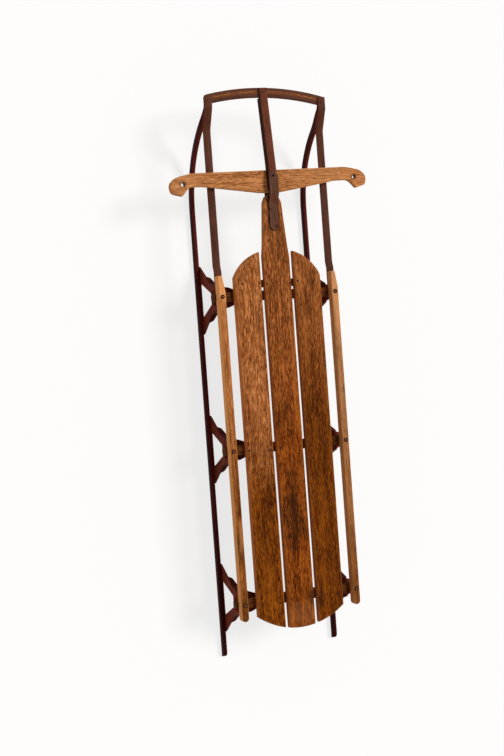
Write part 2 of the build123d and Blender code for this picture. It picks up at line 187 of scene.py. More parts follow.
ARRIS_SLOPE, ARRIS_FAR, ARRIS_NEAR = 0.72, 0.27, 0.12
FACING_FROM, FACING_TO = 0.4, 0.8

# Stains and worn places: middle, radii and strength. Along Z they go right through.

SPOT_EDGE = 0.75
RIGHT_THROUGH = 1000
LEFT_SLAT_STAINS = (((-0.10, -0.40), (0.05, 0.09), 0.3), ((-0.075, -0.205), (0.04, 0.03), 0.4))
CENTRE_SLAT_STAINS = (
    ((-0.006, -0.39), (0.034, 0.085), 1.0), ((0.0, -0.41), (0.03, 0.06), 1.0),
    ((0.0, -0.30), (0.03, 0.07), 0.5), ((-0.02, -0.10), (0.035, 0.06), 0.4),
    ((0.0, 0.42), (0.03, 0.05), 0.5), ((-0.006, 0.462), (0.02, 0.02), 1.0),
    ((0.0, 0.36), (0.016, 0.06), 0.45), ((0.036, -0.602), (0.016, 0.035), 1.0),
    ((-0.01, -0.62), (0.014, 0.03), 0.7), ((-0.036, -0.61), (0.01, 0.03), 0.7))
CENTRE_SLAT_WORN = (((0.0, -0.645), (0.05, 0.035), 0.14),)
RIGHT_SLAT_STAINS = (
    ((0.085, -0.12), (0.04, 0.08), 0.4), ((0.09, -0.30), (0.045, 0.09), 0.3),
    ((0.058, -0.61), (0.012, 0.03), 0.7), ((0.118, -0.58), (0.016, 0.05), 0.6),
    ((0.10, 0.245), (0.012, 0.03), 0.6))
LEFT_RAIL_STAINS = (
    ((-0.166, -0.62), (0.02, 0.06), 0.6), ((-0.170, -0.45), (0.01, 0.05), 0.7),
    ((-0.162, -0.34), (0.007, 0.03), 0.6), ((-0.166, -0.26), (0.012, 0.06), 0.3))
LEFT_RAIL_WORN = (((-0.166, 0.27), (0.03, 0.10), 0.8), ((-0.162, -0.42), (0.008, 0.04), 0.25))
RIGHT_RAIL_STAINS = (((0.168, -0.60), (0.015, 0.05), 0.4),)
RIGHT_RAIL_WORN = (((0.166, 0.25), (0.03, 0.12), 0.3),)
STEERING_STAINS = (
    ((-0.2513, 0.5056), (0.011, 0.011), 1.0), ((0.2520, 0.5210), (0.011, 0.011), 1.0),
    ((0.05, 0.525), (0.06, 0.03), 0.2))
STEERING_WORN = (((-0.24, 0.51), (0.06, 0.04), 0.2), ((0.16, 0.52), (0.08, 0.04), 0.15))

# Bare streak of the front bar, painted shade on the centre bar's left edge, on the nose plates' rim and in
# the pivot's bore, and a paler line inside the rim

BOW_RADIUS, BARE_RADIUS = 0.72, 0.7085
BARE_WIDE, BARE_THIN = (0.0085, 0.002), (0.0035, 0.001)
BROWNED, BROWN_SHARE = 0.6, 0.4
LEFT_SHADE_FROM, LEFT_SHADE_TO, LEFT_SHADE_STRENGTH, LEFT_SHADE_STRAY = -0.0045, -0.0085, 0.85, 0.003
RIM_FROM, RIM_TO, RIM_STRENGTH = 0.0028, 0.0008, 0.8
LINE_INSIDE, LINE_FAR, LINE_NEAR, LINE_STRENGTH = 0.004, 0.0016, 0.0004, 0.5
BORE_RADIUS, BORE_SOFT = 0.0036, 1.15
LEFT_SHADE_BLACK = (0.018, 0.006, 0.004, 1)
RIM_SHADE_BLACK = (0.014, 0.005, 0.004, 1)
PALE_LINE_STEEL = (0.28, 0.15, 0.10, 1)
BORE_SHADE_BLACK = (0.004, 0.002, 0.002, 1)

# Gloss and the depth of each finish's bump

BUMP_STRENGTH = 0.6
PAINT_GLOSS, IRON_GLOSS = 0.02, 0.05
WOOD_BUMP, PAINT_BUMP, IRON_BUMP = 0.0006, 0.0004, 0.0002

# Space between nodes in the editor, the camera's film in millimetres and its reach in metres

NODE_STEP = 180
SENSOR_WIDTH = 36
CLIP_END = 100


def length(name, description, default):
    """A size in metres for the panel."""
    return FloatProperty(name=name, description=description, default=default, unit="LENGTH", precision=5)


def colour(name, description, default):
    """A linear colour for the panel."""
    return FloatVectorProperty(
        name=name, description=description, default=default, size=3, subtype="COLOR", min=0, max=1)


def share(name, description, default):
    """A plain amount from 0 to 1 for the panel."""
    return FloatProperty(name=name, description=description, default=default, min=0, max=1, subtype="FACTOR")


def strength(name, description, default):
    """The strength of a light for the panel."""
    return FloatProperty(name=name, description=description, default=default, min=0)


def tilt(name, description, degrees):
    """One angle for the panel."""
    return FloatProperty(
        name=name, description=description, default=math.radians(degrees), subtype="ANGLE")


def turn(name, description, degrees):
    """A turn about X, Y and Z for the panel."""
    return FloatVectorProperty(
        name=name, description=description, default=[math.radians(angle) for angle in degrees], size=3,
        subtype="EULER", unit="ROTATION")


# Settings

class SledRunnerSettings(PropertyGroup):
    """Sizes of the two steel runners."""

    width: length("Width", "Width of the runner's bar", 0.0105)
    height: length("Height", "Height of the runner's bar", 0.018)
    edge: length("Edge", "How far the bar's top edges are worn round", 0.0022)
    groove_width: length("Groove width", "Width of the groove along the underside", 0.005)
    groove_depth: length("Groove depth", "Depth of the groove along the underside", 0.0012)
    tail_radius: length("Tail radius", "Radius of the rounded tail, seen from the side", 0.014)
    rise: tilt("Rise", "Slope of the front rise", 48)
    lower_radius: length("Lower radius", "Radius of the long curve off the snow", 0.27)
    upper_radius: length("Upper radius", "Radius of the bend under the front bar", 0.020)
    tip_flat: length("Tip length", "Length of the flat tip under the front bar", 0.017)
    tip_thick: length("Tip thickness", "Thickness of the hammered tip", TIP_STEEL)
    tip_width: length("Tip width", "Width of the hammered tip", 0.012)
    tip_inset: length("Tip inset", "How far the tip stands in from the bar, in line with the strap", 0.003)
    draw_length: length("Draw length", "Length over which the bar is drawn out to the tip", 0.06)


class SledStrapSettings(PropertyGroup):
    """Sizes of the two steel straps."""

    width: length("Width", "Width of a strap", 0.021)
    thick: length("Thickness", "Thickness of a strap", 0.004)
    edge: length("Edge", "How far a strap's edges are rounded", 0.0007)
    bend_radius: length("Bend radius", "Radius of each bend", 0.010)
    drop_lead: length("Drop lead", "From the front beam's middle to the first bend", 0.066)
    drop_run: length("Drop run", "Length of the first slope", 0.016)
    rise_run: length("Rise run", "Length of the slope up to the front bar", 0.056)
    tip_flat: length("Tip length", "Length of the tip on the front bar", 0.031)
    drop: length("Drop", "How far the strap drops under the steering bar", 0.0047)


class SledFastenerSettings(PropertyGroup):
    """Sizes of rivets, their washers, nails and the knees' lugs."""

    washer_radius: length("Rail washer", "Radius of the washer round a rail rivet", 0.0062)
    plate_washer_radius: length("Plate washer", "Radius of the washer round a nose plate's rivet", 0.0044)
    lug_inner: length("Lug start", "From the sled's middle to the inner end of a knee's lug", 0.156)
    lug_outer: length("Lug end", "From the sled's middle to the outer end of a knee's lug", 0.175)
    lug_wide: length("Lug width inside", "Width of a lug at its inner end", 0.050)
    lug_narrow: length("Lug width outside", "Width of a lug at its outer end", 0.036)
    lug_thick: length("Lug thickness", "Thickness of a lug", 0.0028)
    lug_corner: length("Lug corner", "Radius of a lug's corners", 0.004)
    nail_radius: length("Nail head", "Radius of a deck nail's head", 0.0033)
    rivet_radius: length("Rivet head", "Radius of a knee or strap rivet's head", 0.0042)
    rivet_height: length("Rivet height", "Height of a rivet's head", 0.0015)
    facets: IntProperty(name="Facets", description="Sides of each round head", default=20, min=8, max=48)


class SledTimberSettings(PropertyGroup):
    """Colours of the old varnished wood."""

    deck: colour("Deck", "Varnished slats", (0.335, 0.098, 0.0215))
    # The deck's pale colour is also the painted light on the slats' sides.
    deck_pale: colour("Deck pale", "Worn flecks in the slats", (0.70, 0.265, 0.085))
    deck_dark: colour("Deck dark", "Dark grain in the slats", (0.085, 0.019, 0.003))
    stain: colour("Stain", "Old dark stains in the deck", (0.045, 0.011, 0.002))
    depth: colour("Depth", "What darkened varnish leaves of the outer slats' colours", (0.46, 0.33, 0.06))
    centre_depth: colour("Centre depth", "What it leaves of the centre slat's colours", (0.62, 0.43, 0.14))
    rail_depth: colour("Left rail depth", "What it leaves of the left rail's colours", (0.60, 0.52, 0.34))
    dry_depth: colour("Right rail depth", "What it leaves of the right rail's colours", (0.45, 0.33, 0.18))
    rail: colour("Left rail", "Varnished left rail", (0.40, 0.125, 0.030))
    rail_dry: colour("Right rail", "Dry, paler right rail", (0.52, 0.235, 0.10))
    # The rails' pale colour is also the painted light on their sides.
    rail_pale: colour("Rail pale", "Worn wood of the rails", (0.80, 0.345, 0.115))
    steering: colour("Steering bar", "Varnished steering bar", (0.51, 0.177, 0.051))
    steering_pale: colour("Steering bar pale", "Worn wood of the steering bar", (0.80, 0.37, 0.145))
    beam: colour("Beams", "Dark varnish of the beams", (0.06, 0.02, 0.004))
    bar: colour("Front bar", "Dark brown finish of the front bar", (0.095, 0.034, 0.021))
    bar_worn: colour("Front bar worn", "Bare wood along the front bar's top", (0.40, 0.13, 0.035))
    centre_bar: colour("Centre bar", "Brown finish of the centre bar", (0.15, 0.042, 0.022))
    grain: share("Grain", "Strength of the dark grain", 0.8)
    stains: share("Stains", "Strength of the deck's stains", 0.7)


class SledEnamelSettings(PropertyGroup):
    """Colours of the painted steel."""

    runner: colour("Runners", "Maroon paint of the runners", (0.10, 0.009, 0.008))
    knee: colour("Knees", "Maroon paint of the knees", (0.16, 0.022, 0.010))
    strap: colour("Straps", "Brown paint of the straps", (0.105, 0.036, 0.022))
    plate: colour("Nose plate", "Brown-grey steel of the nose plates", (0.120, 0.051, 0.031))
    rust: colour("Rust", "Rust where the paint is gone", (0.16, 0.045, 0.016))
    iron: colour("Iron", "Dark iron of nails, rivets and washers", (0.036, 0.009, 0.005))
    worn_iron: colour("Worn iron", "Rubbed heads of the rivets", (0.27, 0.11, 0.045))
    chips: share("Chips", "How much of the paint is chipped", 0.35)


class SledStageSettings(PropertyGroup):
    """Camera, lamps and floor."""

    camera_place: FloatVectorProperty(
        name="Camera place", description="Where the camera stands", default=(-1.521258, 0.052198, 3.342349),
        size=3, subtype="TRANSLATION", unit="LENGTH")
    camera_turn: turn("Camera turn", "How the camera is turned", (0.908325, -24.134044, -4.562094))
    lens: FloatProperty(name="Lens", description="Focal length in millimetres", default=62.975, min=1)
    floor_size: length("Floor size", "Width of the floor", 14.0)
    floor: colour("Floor", "Colour of the floor", (0.96, 0.94, 0.915))
    floor_glow: share("Floor glow", "How much of the floor's white is its own", 0.75)
    key_strength: strength("Key light", "Strength of the main light", 2.3)
    key_turn: turn("Key turn", "Direction of the main light", (-14, 36, 0))
    key_softness: tilt("Key softness", "How wide the main light looks", 22)
    sky: colour("Sky", "Colour of the light from all round", (1.0, 0.985, 0.97))
    sky_strength: strength("Sky strength", "Light from all round", 0.42)


# Modelling helpers

def let_go():
    """Leaves edit mode and deselects everything."""
    if bpy.context.object and bpy.context.object.mode != "OBJECT":
        bpy.ops.object.mode_set(mode="OBJECT")
    bpy.ops.object.select_all(action="DESELECT")


def hold(piece):
    """Makes one piece the only one selected."""
    let_go()
    piece.select_set(True)
    bpy.context.view_layer.objects.active = piece


def start_ring(name, points):
    """A ring of edges in the XY plane, begun as a circle primitive, one corner for each point."""
    let_go()
    bpy.ops.mesh.primitive_circle_add(vertices=len(points), radius=1, fill_type="NOTHING")
    piece = bpy.context.object
    piece.name = piece.data.name = name
    for vertex, (x, y) in zip(piece.data.vertices, points):
        vertex.co = (x, y, 0)
    return piece


def carry_ring(piece, stations):
    """Extrudes a ring from station to station, each a matrix that places and sizes the section."""
    piece.data.transform(stations[0])
    hold(piece)
    bpy.ops.object.mode_set(mode="EDIT")
    bpy.ops.mesh.select_all(action="SELECT")
    for before, after in zip(stations, stations[1:]):
        bpy.ops.mesh.extrude_region_move(TRANSFORM_OT_translate={"value": (0, 0, 0)})
        mesh = bmesh.from_edit_mesh(piece.data)
        step = after @ before.inverted()
        for vertex in mesh.verts:
            if vertex.select:
                vertex.co = step @ vertex.co
        bmesh.update_edit_mesh(piece.data)
    bpy.ops.mesh.select_all(action="SELECT")
    bpy.ops.mesh.fill_holes(sides=0)
    bpy.ops.mesh.select_all(action="SELECT")
    bpy.ops.mesh.normals_make_consistent(inside=False)
    bpy.ops.object.mode_set(mode="OBJECT")
    return piece


def smooth(piece, angle=35):
    """Shades a piece smooth, with sharp edges kept over an angle in degrees."""
    hold(piece)
    bpy.ops.object.shade_smooth_by_angle(angle=math.radians(angle))


def turned(profile, radius, facets):
    """A round head about Z from a profile."""
    rim = radius * profile[0][0]
    angles = [2 * math.pi * i / facets for i in range(facets)]
    piece = start_ring("head", [(rim * math.cos(angle), rim * math.sin(angle)) for angle in angles])
    stations = [
        Matrix.Translation((0, 0, height)) @ Matrix.Diagonal((wide * radius / rim, wide * radius / rim, 1, 1))
        for wide, height in profile
    ]
    return carry_ring(piece, stations)


def copies(pattern, name, places):
    """Copies a pattern to each place, every copy with its own mesh, and joins them in one piece."""
    made = []
    for place in places:
        copy = pattern.copy()
        copy.data = pattern.data.copy()
        copy.data.transform(place)
        bpy.context.collection.objects.link(copy)
        made.append(copy)
    bpy.data.objects.remove(pattern)
    let_go()
    for copy in made:
        copy.select_set(True)
    bpy.context.view_layer.objects.active = made[0]
    if len(made) > 1:
        bpy.ops.object.join()
    piece = bpy.context.object
    piece.name = piece.data.name = name
    return piece


def finish(piece, look, body=None):
    """Smooths a piece and gives it its material, its slot and the body that it rides on."""
    smooth(piece)
    piece.data.materials.clear()
    piece.data.materials.append(finish_of(look))
    if body:
        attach(piece, body)


def heads(name, head, places, look, body):
    """Turned heads of one profile, radius and number of facets, one at each place, as one piece."""
    finish(copies(turned(*head), name, places), look, body)


def ringed(name, radius, facets, places):
    """Rivets in dark washers: the washers are one piece and the rubbed heads another."""
    heads(name + "_washers", (WASHER, radius, facets), places, "dark_iron", "root")
    heads(name + "_heads", (WASHER_HEAD, radius, facets), places, "rubbed_iron", "root")


def ease_between(done):
    """A smooth step from 0 to 1."""
    done = min(max(done, 0), 1)
    return done * done * (3 - 2 * done)


def rounded_section(width, height, edge, groove_width=0, groove_depth=0):
    """Section corners, counter-clockwise, with its underside on Y = 0."""
    half = width / 2
    points = []
    if groove_depth:
        groove = groove_width / 2
        points += [(-groove, 0), (-groove / 2, groove_depth), (groove / 2, groove_depth), (groove, 0)]
    lower = min(edge, LOWER_EDGE)
    corners = (
        (half, 0, -90, lower), (half, height, 0, edge), (-half, height, 90, edge), (-half, 0, 180, lower))
    for x, y, start, radius in corners:
        cx, cy = x - math.copysign(radius, x), y - radius if y else radius
        for step in (0, 45, 90):
            angle = math.radians(start + step)
            points.append((cx + radius * math.cos(angle), cy + radius * math.sin(angle)))
    return points


def rounded_outline(corners, radius):
    """A convex outline, counter-clockwise, with its corners rounded."""
    points = []
    for index, corner in enumerate(corners):
        before = (Vector(corners[index - 1]) - Vector(corner)).normalized()
        after = (Vector(corners[(index + 1) % len(corners)]) - Vector(corner)).normalized()
        half = before.angle(after) / 2
        centre = Vector(corner) + (before + after).normalized() * radius / math.sin(half)
        start = Vector(corner) + before * radius / math.tan(half) - centre
        bend = math.pi - 2 * half
        for step in range(CORNER_STEPS + 1):
            points.append(centre + Matrix.Rotation(bend * step / CORNER_STEPS, 2) @ start)
    return [tuple(point) for point in points]


def stations_along(path, x):
    """Matrices along a path of (y, z, slope, width share, height share, inset) at a distance x."""
    made = []
    for y, z, slope, wide, high, inset in path:
        # The section's X stays sideways, its Y stands square to the path, and its normal follows it.
        swing = Matrix((
            (-1, 0, 0), (0, -math.sin(slope), math.cos(slope)), (0, math.cos(slope), math.sin(slope))))
        place = Matrix.Translation((x - math.copysign(inset, x), y, z))
        made.append(place @ swing.to_4x4() @ Matrix.Diagonal((wide, high, 1, 1)))
    return made


# Shader groups

class Wiring:
    """Adds the nodes of one shader tree in a row, and links them."""

    def __init__(self, tree):
        self.tree = tree

    def feed(self, value, socket):
        """Links an output to an input, or sets a plain value on the input."""
        if isinstance(value, NodeSocket):
            self.tree.links.new(value, socket)
        else:
            socket.default_value = value

    def add(self, kind, inputs=None, **properties):
        """Adds a node with its properties, and feeds its inputs by name or number."""
        node = self.tree.nodes.new(kind)
        node.location = (NODE_STEP * len(self.tree.nodes), 0)
        for name, value in properties.items():
            setattr(node, name, value)
        for name, value in (inputs or {}).items():
            self.feed(value, node.inputs[name])
        return node

    def maths(self, operation, first, second=0.0):
        """A maths node on outputs or numbers."""
        return self.add("ShaderNodeMath", {0: first, 1: second}, operation=operation).outputs[0]

    def total(self, values, shares):
        """The sum of values, each times its share."""
        result = self.maths("MULTIPLY", values[0], shares[0])
        for value, amount in zip(values[1:], shares[1:]):
            result = self.maths("ADD", result, self.maths("MULTIPLY", value, amount))
        return result

    def greatest(self, *masks):
        """The greatest of several masks."""
        result = masks[0]
        for mask in masks[1:]:
            result = self.maths("MAXIMUM", result, mask)
        return result

    def vectors(self, operation, *values):
        """A vector maths node."""
        node = self.add("ShaderNodeVectorMath", dict(enumerate(values)), operation=operation)
        return node.outputs["Value" if operation in ("LENGTH", "DOT_PRODUCT") else "Vector"]

    def parts(self, vector):
        """A vector's X, Y and Z."""
        return self.add("ShaderNodeSeparateXYZ", {"Vector": vector}).outputs

    def between(self, value, low, high, top=1.0):
        """How far a value is from low to high, as 0 to top."""
        inputs = {"Value": value, "From Min": low, "From Max": high, "To Max": top}
        return self.add("ShaderNodeMapRange", inputs, clamp=True).outputs["Result"]

    def noise(self, vector, scale, detail, low, high):
        """Noise stretched by a scale along each axis, cut to the part between low and high."""
        place = self.add("ShaderNodeMapping", {"Vector": vector, "Scale": scale}).outputs["Vector"]
        inputs = {"Vector": place, "Scale": 1.0, "Detail": detail, "Roughness": NOISE_ROUGHNESS}
        return self.between(self.add("ShaderNodeTexNoise", inputs).outputs["Fac"], low, high)

    def mix(self, amount, first, second, mode="MIX"):
        """A colour mix. Inputs 0, 6 and 7 are its factor and colours, and output 2 is the colour."""
        inputs = {0: amount, 6: first, 7: second}
        return self.add("ShaderNodeMix", inputs, data_type="RGBA", blend_type=mode).outputs[2]

    def effect(self, name, inputs):
        """Places a shared group, which is built when it is first needed."""
        makers = {"sled_edge_wear": edge_wear_group, "sled_timber": timber_group, "sled_enamel": enamel_group}
        group = bpy.data.node_groups.get(name) or makers[name]()
        return self.add("ShaderNodeGroup", inputs, node_tree=group).outputs


def new_group(name, inputs, outputs):
    """An empty shader group: its wiring, what it is given and what it puts out."""
    tree = bpy.data.node_groups.new(name, "ShaderNodeTree")
    for label, kind, default in inputs:
        socket = tree.interface.new_socket(name=label, in_out="INPUT", socket_type="NodeSocket" + kind)
        if default is not None:
            socket.default_value = default
    for label, kind in outputs:
        tree.interface.new_socket(name=label, in_out="OUTPUT", socket_type="NodeSocket" + kind)
    return Wiring(tree), tree.nodes.new("NodeGroupInput").outputs, tree.nodes.new("NodeGroupOutput").inputs


def edge_wear_group():
    """A mask of arrises and slopes, which rub pale first, broken up by noise."""
    wire, given, out = new_group(
        "sled_edge_wear", [("Vector", "Vector", None), ("Amount", "Float", 0.5)], [("Mask", "Float")])
    upright = wire.parts(wire.add("ShaderNodeTexCoord").outputs["Normal"])["Z"]
    away = wire.maths("ABSOLUTE", wire.maths("SUBTRACT", wire.maths("ABSOLUTE", upright), ARRIS_SLOPE))
    near = wire.between(away, ARRIS_FAR, ARRIS_NEAR)
    mask = wire.maths("MULTIPLY", near, wire.noise(given["Vector"], *WORN_PATCHES))
    wire.feed(wire.maths("MULTIPLY", mask, given["Amount"]), out["Mask"])
    return wire.tree


def timber_group():
    """Old varnished wood with its grain along Y: flecks, bands, cracks, darkened varnish and stains."""
    wire, given, out = new_group(
        "sled_timber",
        [("Vector", "Vector", None), ("Base", "Color", (0.4, 0.2, 0.1, 1)),
         ("Pale", "Color", (0.6, 0.3, 0.15, 1)), ("Dark", "Color", (0.1, 0.04, 0.01, 1)),
         ("Stain", "Color", (0.06, 0.02, 0.006, 1)), ("Depth Tint", "Color", (0.4, 0.3, 0.15, 1)),
         ("Depth", "Float", 0.0), ("Flecks", "Float", 0.6), ("Grain", "Float", 0.6), ("Cracks", "Float", 0.5),
         ("Stains", "Float", 0.5), ("Spots", "Float", 0.0), ("Wear", "Float", 0.0)],
        [("Color", "Color"), ("Height", "Float"), ("Dullness", "Float")])
    vector = given["Vector"]
    # The grain wanders a little from side to side.
    wander = wire.add("ShaderNodeTexNoise", {"Vector": vector, **WANDER})
    centred = wire.vectors("SUBTRACT", wander.outputs["Color"], (0.5, 0.5, 0.5))
    grain = wire.vectors("ADD", wire.vectors("MULTIPLY", centred, WANDER_REACH), vector)
    pepper, flecks, fine, streaks, bands, cracks = (
        wire.noise(grain, *kind) for kind in (PEPPER, FLECKS, FINE, STREAKS, BANDS, CRACKS))
    patches = wire.noise(vector, *PATCHES)
    # One grain value from dark to pale, stronger under dark varnish, is spread over three colours.
    value = wire.total((pepper, streaks, bands), GRAIN_SHARES)
    stronger = wire.maths("ADD", 1.0, wire.maths("MULTIPLY", given["Depth"], DEPTH_CONTRAST))
    off_middle = wire.maths("SUBTRACT", value, GRAIN_MIDDLE)
    value = wire.maths("ADD", wire.maths("MULTIPLY", off_middle, stronger), GRAIN_MIDDLE)
    darker = wire.between(value, GRAIN_MIDDLE, GRAIN_DARKEST)
    paler = wire.between(value, GRAIN_MIDDLE, GRAIN_PALEST)
    now = given["Base"]
    for mask, amount, toward in (
            (darker, "Grain", "Dark"), (paler, "Flecks", "Pale"), (flecks, "Flecks", "Pale")):
        now = wire.mix(wire.maths("MULTIPLY", mask, given[amount]), now, given[toward])
    now = wire.mix(given["Depth"], now, wire.mix(1.0, now, given["Depth Tint"], "MULTIPLY"))
    stained = wire.greatest(wire.maths("MULTIPLY", patches, given["Stains"]), given["Spots"])
    soaked = wire.maths("SUBTRACT", STAIN_ON_DARK, wire.maths("MULTIPLY", value, STAIN_LOSS))
    now = wire.mix(wire.maths("MULTIPLY", stained, soaked), now, given["Stain"])
    now = wire.mix(wire.maths("MULTIPLY", cracks, given["Cracks"]), now, given["Stain"])
    # The wear mask also carries the painted light on side faces, so it pales them too.
    wire.feed(wire.mix(given["Wear"], now, given["Pale"]), out["Color"])
    wire.feed(wire.total((fine, pepper, cracks), WOOD_RELIEF), out["Height"])
    wire.feed(wire.maths("ADD", wire.total((fine, patches), WOOD_DULLNESS), DULLNESS), out["Dullness"])
    return wire.tree


def enamel_group():
    """Old brushed paint on steel: clouded colour, chips down to rust, and a last darkening to the dark
    colour, used for painted shade.
    """
    wire, given, out = new_group(
        "sled_enamel",
        [("Vector", "Vector", None), ("Paint", "Color", (0.2, 0.05, 0.04, 1)),
         ("Rust", "Color", (0.2, 0.06, 0.02, 1)), ("Grime And Shade", "Color", (0.02, 0.008, 0.006, 1)),
         ("Chips", "Float", 0.3), ("Wear", "Float", 0.0), ("Darkening", "Float", 0.0)],
        [("Color", "Color"), ("Height", "Float"), ("Dullness", "Float")])
    clouds, speckle, chips, brushed = (
        wire.noise(given["Vector"], *kind) for kind in (CLOUDS, SPECKLE, CHIPS, BRUSHED))
    now = wire.mix(wire.maths("MULTIPLY", clouds, CLOUD_SHARE), given["Paint"], given["Grime And Shade"])
    now = wire.mix(wire.maths("MULTIPLY", speckle, SPECKLE_SHARE), now, given["Rust"])
    chipped = wire.greatest(wire.maths("MULTIPLY", chips, given["Chips"]), given["Wear"])
    now = wire.mix(chipped, now, given["Rust"])
    # Painted shade: this last mix darkens what the caller marks, such as faces turned from the light, to the
    # dark colour.
    wire.feed(wire.mix(given["Darkening"], now, given["Grime And Shade"]), out["Color"])
    wire.feed(wire.total((brushed, chipped, speckle), PAINT_RELIEF), out["Height"])
    wire.feed(wire.maths("ADD", wire.total((clouds, chipped), PAINT_DULLNESS), DULLNESS), out["Dullness"])
    return wire.tree


# Materials

def opaque(rgb):
    """A colour with full alpha."""
    return (*rgb, 1.0)


def scaled(rgb, amount):
    """A lighter or darker colour."""
    return tuple(part * amount for part in rgb)


def begin_material(name, gloss):
    """A Principled material: its wiring, and its texture coordinates."""
    material = bpy.data.materials.new(name)
    material.use_nodes = True
    wire = Wiring(material.node_tree)
    wire.tree.nodes["Principled BSDF"].inputs["Specular IOR Level"].default_value = gloss
    return material, wire, wire.add("ShaderNodeTexCoord").outputs


def end_material(wire, coat, bump_depth):
    """Gives a coat's colour, dullness and height to the Principled shader."""
    shader = wire.tree.nodes["Principled BSDF"].inputs
    inputs = {"Strength": BUMP_STRENGTH, "Distance": bump_depth, "Height": coat["Height"]}
    wire.feed(wire.add("ShaderNodeBump", inputs).outputs["Normal"], shader["Normal"])
    wire.feed(coat["Color"], shader["Base Color"])
    wire.feed(coat["Dullness"], shader["Roughness"])


def reopen(material):
    """A finished material's wiring, its object coordinates and the colour that it has so far."""
    wire = Wiring(material.node_tree)
    now = wire.tree.nodes["Principled BSDF"].inputs["Base Color"].links[0].from_socket
    return wire, wire.add("ShaderNodeTexCoord").outputs["Object"], now


def recolour(material, wire, now):
    """Gives a reopened material its new colour."""
    wire.feed(now, wire.tree.nodes["Principled BSDF"].inputs["Base Color"])
    return material


def faces_along(wire, where, way, amount):
    """A mask of the faces that look along X, Y or Z, either way."""
    facing = wire.parts(where["Normal"])[way]
    return wire.between(wire.maths("ABSOLUTE", facing), FACING_FROM, FACING_TO, amount)


def spot_mask(wire, where, spots):
    """A mask of soft ragged spots."""
    ragged = wire.noise(where["Object"], *RAGGED)
    masks = []
    for place, radii, amount in spots:
        inputs = {"Vector": where["Object"], "Location": (*place, 0), "Scale": (*radii, RIGHT_THROUGH)}
        near = wire.add("ShaderNodeMapping", inputs, vector_type="TEXTURE").outputs["Vector"]
        reach = wire.maths("SUBTRACT", wire.vectors("LENGTH", near), ragged)
        masks.append(wire.between(reach, SPOT_EDGE, 0.0, amount))
    return wire.greatest(*masks)


def timber(name, colours, flecks, grain, stains, wear, swing=0.0, shift=(0, 0, 0), scale=(1, 1, 1),
           deeper=None, tint=(1, 1, 1), spots=(), worn_spots=(), pale_sides=0.0, cracks=0.45):
    """Varnished wood. Swing turns the grain, deeper gives the Y places between which the varnish darkens."""
    settings = bpy.context.scene.sled_timber
    material, wire, where = begin_material(name, PAINT_GLOSS)
    inputs = {"Vector": where["Object"], "Rotation": (0, 0, swing), "Location": shift, "Scale": scale}
    vector = wire.add("ShaderNodeMapping", inputs).outputs["Vector"]
    worn = wire.effect("sled_edge_wear", {"Vector": where["Object"], "Amount": wear})["Mask"]
    # Painted light: the faces that look along X are paled with the wear, toward the pale colour.
    if pale_sides:
        worn = wire.greatest(worn, faces_along(wire, where, "X", pale_sides))
    if worn_spots:
        worn = wire.greatest(worn, spot_mask(wire, where, worn_spots))
    inputs = {"Vector": vector, "Depth Tint": opaque(tint), "Flecks": flecks, "Grain": settings.grain * grain,
              "Cracks": cracks, "Stains": settings.stains * stains, "Wear": worn}
    inputs.update(zip(("Base", "Pale", "Dark", "Stain"), [opaque(rgb) for rgb in (*colours, settings.stain)]))
    if deeper:
        cloudy = wire.maths("SUBTRACT", wire.noise(where["Object"], *CLOUDED_VARNISH), 0.5)
        uneven = wire.maths("MULTIPLY", cloudy, CLOUDED_REACH)
        along = wire.maths("ADD", wire.parts(where["Object"])["Y"], uneven)
        inputs["Depth"] = wire.between(along, *deeper)
    if spots:
        inputs["Spots"] = spot_mask(wire, where, spots)
    end_material(wire, wire.effect("sled_timber", inputs), WOOD_BUMP)
    return material


def enamel(name, paint, chips, wear, shaded_faces=None, darker_aft=None):
    """Painted steel. One argument paints shade on the faces along one way; darker_aft darkens all that is
    behind two Y places.
    """
    settings = bpy.context.scene.sled_enamel
    material, wire, where = begin_material(name, PAINT_GLOSS)
    worn = wire.effect("sled_edge_wear", {"Vector": where["Object"], "Amount": wear})["Mask"]
    inputs = {"Vector": where["Object"], "Paint": opaque(paint), "Rust": opaque(settings.rust),
              "Grime And Shade": opaque(scaled(paint, PAINT_GRIME_AND_SHADE)), "Chips": settings.chips * chips, "Wear": worn}
    # Painted shade on the faces that look along the given way.
    if shaded_faces:
        inputs["Darkening"] = faces_along(wire, where, *shaded_faces)
    if darker_aft:
        aft = wire.between(wire.parts(where["Object"])["Y"], *darker_aft)
        inputs["Darkening"] = wire.greatest(inputs["Darkening"], aft)
    end_material(wire, wire.effect("sled_enamel", inputs), PAINT_BUMP)
    return material


def iron(name, base):
    """Iron of small fasteners."""
    rust = bpy.context.scene.sled_enamel.rust
    material, wire, where = begin_material(name, IRON_GLOSS)
    inputs = {"Vector": where["Object"], "Paint": opaque(base), "Rust": opaque(rust),
              "Grime And Shade": opaque(scaled(base, IRON_GRIME)), "Chips": IRON_CHIPS}
    end_material(wire, wire.effect("sled_enamel", inputs), IRON_BUMP)
    return material


def bare_along_bow(material, worn):
    """Wears a broken streak of bare wood along the middle of the bowed bar."""
    wire, where, now = reopen(material)
    from_middle = wire.vectors("MULTIPLY_ADD", where, (1, 1, 0), (0, BOW_RADIUS - BAR_HIGH.y, 0))
    off = wire.maths("ABSOLUTE", wire.maths("SUBTRACT", wire.vectors("LENGTH", from_middle), BARE_RADIUS))
    browned = wire.maths("MULTIPLY", wire.between(off, *BARE_WIDE), BROWN_SHARE)
    now = wire.mix(browned, now, opaque(scaled(worn, BROWNED)))
    streak = wire.maths("MULTIPLY", wire.between(off, *BARE_THIN), wire.noise(where, *DASHES))
    return recolour(material, wire, wire.mix(streak, now, opaque(worn)))


